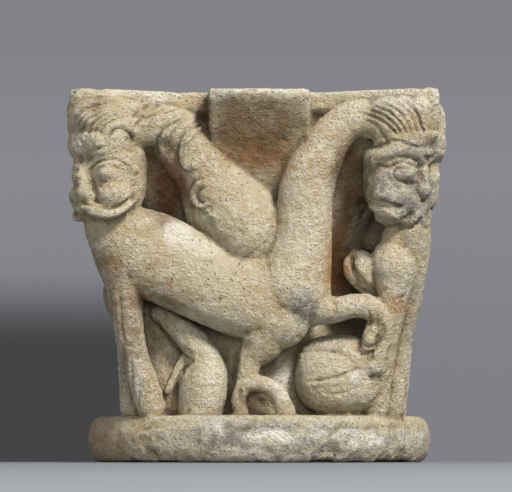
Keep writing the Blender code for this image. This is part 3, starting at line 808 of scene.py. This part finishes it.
class Field:
    # a socket of a node tree that sums and products can be written with
    def __init__(self, tree, socket):
        self.tree = tree
        self.socket = socket

    def plug(self, target, value):
        if isinstance(value, Field):
            self.tree.links.new(value.socket, target)
        else:
            target.default_value = value

    def node(self, kind, settings=None, values=None, output=0):
        node = self.tree.nodes.new(kind)
        for name, value in (settings or {}).items():
            setattr(node, name, value)
        for name, value in (values or {}).items():
            self.plug(node.inputs[name], value)
        return Field(self.tree, node.outputs[output])

    def maths(self, operation, first, second):
        return self.node("ShaderNodeMath", {"operation": operation}, {0: first, 1: second})

    def __add__(self, other):
        return self.maths("ADD", self, other)

    def __radd__(self, other):
        return self.maths("ADD", other, self)

    def __sub__(self, other):
        return self.maths("SUBTRACT", self, other)

    def __rsub__(self, other):
        return self.maths("SUBTRACT", other, self)

    def __mul__(self, other):
        return self.maths("MULTIPLY", self, other)

    def __rmul__(self, other):
        return self.maths("MULTIPLY", other, self)

    def between(self, start, end):
        return self.node("ShaderNodeMapRange", {"interpolation_type": "SMOOTHSTEP"},
                         {"Value": self, "From Min": start, "From Max": end})

    def mix(self, other, share):
        settings = {"data_type": "RGBA", "blend_type": "MIX"}
        return self.node("ShaderNodeMix", settings, {0: share, 6: self, 7: other}, 2)

    def shade(self, amount):
        # a colour times a value
        return self.node("ShaderNodeVectorMath", {"operation": "SCALE"}, {0: self, "Scale": amount})


def colour(red, green, blue):
    # screen values from 0 to 255 to a linear colour
    return tuple(((c / 255 + 0.055) / 1.055) ** 2.4 for c in (red, green, blue)) + (1.0,)


# the dark colour darkens specks, and is painted shade in hollows and grooves
limestone = {"cream": colour(192, 180, 149), "warm": colour(164, 143, 102), "brown": colour(94, 68, 36),
             "ochre": colour(176, 128, 74), "grey": colour(126, 124, 120), "pale": colour(226, 220, 206),
             "red": colour(134, 62, 36), "dirtAndPaintedShade": colour(74, 58, 38), "bump": 1.0, "depth": 0.0042,
             "roughness": 0.88, "rougher": 0.1, "gloss": 0.25}
# sizes of the clouds in metres, pits and chisel marks as a scale
grains = {"broad": 0.06, "middle": 0.015, "fine": 0.0045, "dust": 0.0018, "pits": 260.0, "chisel": 260.0}
# how strongly each layer covers the ones below it; the hollow and groove layers are painted shade
layers = {"warm": 0.62, "bleached": 0.42, "ochre": 0.85, "grey": 0.85, "brown": 0.85, "red": 0.75,
          "pale": 0.9, "hollow": 0.30, "grooveShade": 0.48, "rubbed": 0.45, "pitted": 0.45, "dust": 0.28,
          "specks": 0.9, "chalk": 0.38}
material = bpy.data.materials.new("limestone")
material.use_nodes = True
shader = material.node_tree.nodes["Principled BSDF"]
start = Field(material.node_tree, None)
place = start.node("ShaderNodeTexCoord", output="Object")


def cloud(size, detail=4, rough=0.6, shift=0.0):
    where = place.node("ShaderNodeMapping", values={"Vector": place, "Location": (shift, shift, shift)})
    return where.node("ShaderNodeTexNoise", values={"Vector": where, "Scale": 1 / size, "Detail": detail,
                                                    "Roughness": rough})


def read(name):
    return start.node("ShaderNodeAttribute", {"attribute_name": name}, output="Fac")


broad, middle = cloud(grains["broad"], 3), cloud(grains["middle"], 4, 0.65, 3.0)
fine, dust = cloud(grains["fine"], 4, 0.7, 5.0), cloud(grains["dust"], 3, 0.75, 8.0)
pitting = start.node("ShaderNodeTexVoronoi", {"feature": "F1"}, {"Vector": place, "Scale": grains["pits"]},
                     "Distance")
pitted = pitting.between(0.34, 0.10) * fine.between(0.50, 0.62)
hollow, edge = read("hollow"), read("sharp")
base = start.node("ShaderNodeRGB")
base.socket.default_value = limestone["cream"]
veins = (broad * 0.5 + middle * 0.5).between(0.40, 0.64)
tone = base.mix(limestone["warm"], veins * layers["warm"])
bleached = (broad * 0.3 + middle * 0.2 + fine * 0.5).between(0.46, 0.34)
tone = tone.mix(limestone["pale"], bleached * layers["bleached"])
# the ochre stain, in places painted light and painted shade
tone = tone.mix(limestone["ochre"], read("ochre") * middle.between(0.20, 0.55) * layers["ochre"])
soot = read("grey") * (middle * 0.7 + fine * 0.3).between(0.36, 0.52)
tone = tone.mix(limestone["grey"], soot * layers["grey"])
# the brown stain, part of it painted shade
brown = read("brown") * (middle * 0.5 + broad * 0.5).between(0.2, 0.5)
tone = tone.mix(limestone["brown"], brown * layers["brown"])
tone = tone.mix(limestone["red"], read("red") * fine.between(0.35, 0.6) * layers["red"])
# the pale stain, painted light beside the fruit
bare = read("pale") * (middle * 0.5 + fine * 0.5).between(0.38, 0.52)
tone = tone.mix(limestone["pale"], bare * layers["pale"])
# painted shade: darker where the stone is closed in, and along concave grooves
tone = tone.mix(limestone["dirtAndPaintedShade"], hollow.between(0.55, 1.0) * layers["hollow"])
tone = tone.mix(limestone["dirtAndPaintedShade"], edge.between(-0.05, -0.40) * layers["grooveShade"])
rubbed = edge.between(0.05, 0.35) * fine.between(0.4, 0.6)
tone = tone.mix(limestone["pale"], rubbed * (layers["rubbed"] - brown * 0.3))
specks = pitted * layers["pitted"] + dust.between(0.60, 0.76) * layers["dust"]
tone = tone.mix(limestone["dirtAndPaintedShade"], specks * layers["specks"])
tone = tone.mix(limestone["pale"], dust.between(0.44, 0.32) * (layers["chalk"] - brown * 0.35))
speckle = 0.84 + dust * 0.20 + fine * 0.12
place.plug(shader.inputs["Base Color"], tone.shade(speckle))
roughness = limestone["roughness"] + fine * limestone["rougher"]
place.plug(shader.inputs["Roughness"], roughness)
shader.inputs["Specular IOR Level"].default_value = limestone["gloss"]
chisel = start.node("ShaderNodeMapping", values={"Vector": place, "Rotation": (0.0, -0.9, 0.0),
                                                 "Scale": (0.6, 0.6, 1.4)})
chisel = chisel.node("ShaderNodeTexNoise", values={"Vector": chisel, "Scale": grains["chisel"],
                                                        "Detail": 2.0})
relief = middle * 0.8 + fine * 1.0 + dust * 0.75 + chisel * 0.3 - pitted * 0.7
bump = relief.node("ShaderNodeBump", values={"Height": relief, "Strength": limestone["bump"],
                                             "Distance": limestone["depth"]})
place.plug(shader.inputs["Normal"], bump)
capital.data.materials.clear()
capital.data.materials.append(material)
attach(capital, "root")
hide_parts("capital")
print("material made")

# floor, light and the grey room
studio = {"floor": (0.183, 0.194, 0.212, 1), "radius": 1.4, "forward": 0.95, "wall": colour(128, 129, 134),
          "bright": colour(138, 139, 144), "dark": colour(68, 69, 70), "fill": 1.0, "aim": 0.15,
          "shadowUp": (0.067, 0.038), "shadowRight": (0.03, -0.05), "shadowLeft": (-0.6, -0.3),
          "glowTop": (0.17, 0.08), "glowFoot": (0.12, 0.02)}
lights = {"key": {"azimuth": 34, "elevation": 41, "distance": 4.0, "size": 0.85, "power": 240,
                  "tint": (1.0, 0.98, 0.94)},
          "front": {"azimuth": 6, "elevation": 6, "distance": 3.2, "size": 1.2, "power": 26,
                    "tint": (1.0, 0.97, 0.92)},
          "side": {"azimuth": -55, "elevation": 20, "distance": 2.0, "size": 1.6, "power": 7},
          "above": {"azimuth": 150, "elevation": 60, "distance": 2.0, "size": 1.2, "power": 4}}
bm = bmesh.new()
bmesh.ops.create_circle(bm, cap_ends=True, segments=128, radius=studio["radius"])
mesh = bpy.data.meshes.new("floor")
bm.to_mesh(mesh)
bm.free()
floor = bpy.data.objects.new("floor", mesh)
floor.location = (0, -studio["forward"], 0)
scene.collection.objects.link(floor)
paint = bpy.data.materials.new("floorPaint")
paint.use_nodes = True
matt = paint.node_tree.nodes["Principled BSDF"]
matt.inputs["Base Color"].default_value = studio["floor"]
matt.inputs["Roughness"].default_value = 1.0
matt.inputs["Specular IOR Level"].default_value = 0.0
floor.data.materials.append(paint)


def softLight(name, azimuth, elevation, distance, size, power, tint=(1, 1, 1)):
    a, e = math.radians(azimuth), math.radians(elevation)
    back = Vector((math.sin(a) * math.cos(e), -math.cos(a) * math.cos(e), math.sin(e)))
    data = bpy.data.lights.new(name, "AREA")
    data.shape, data.size, data.energy, data.color = "DISK", size, power, tint
    obj = bpy.data.objects.new(name, data)
    obj.location = back * distance + Vector((0, 0, studio["aim"]))
    obj.rotation_euler = back.to_track_quat("Z", "Y").to_euler()
    scene.collection.objects.link(obj)


for name, values in lights.items():
    softLight(name, **values)
world = bpy.data.worlds.new("room")
scene.world = world
world.use_nodes = True
room = world.node_tree.nodes["Background"]
start = Field(world.node_tree, None)
way = start.node("ShaderNodeTexCoord", output="Generated")
across = way.node("ShaderNodeSeparateXYZ", values={"Vector": way}, output="X")
up = way.node("ShaderNodeSeparateXYZ", values={"Vector": way}, output="Z")
shadow = (up.between(*studio["shadowUp"]) * across.between(*studio["shadowRight"])
          * across.between(*studio["shadowLeft"]))
glow = up.between(*studio["glowTop"]) * (1 - up.between(*studio["glowFoot"]))
wall = start.node("ShaderNodeRGB")
wall.socket.default_value = studio["wall"]
wall = wall.mix(studio["bright"], glow).mix(studio["dark"], shadow)
way.plug(room.inputs["Color"], wall)
room.inputs["Strength"].default_value = studio["fill"]
scene.view_settings.view_transform = "Standard"

print("done")
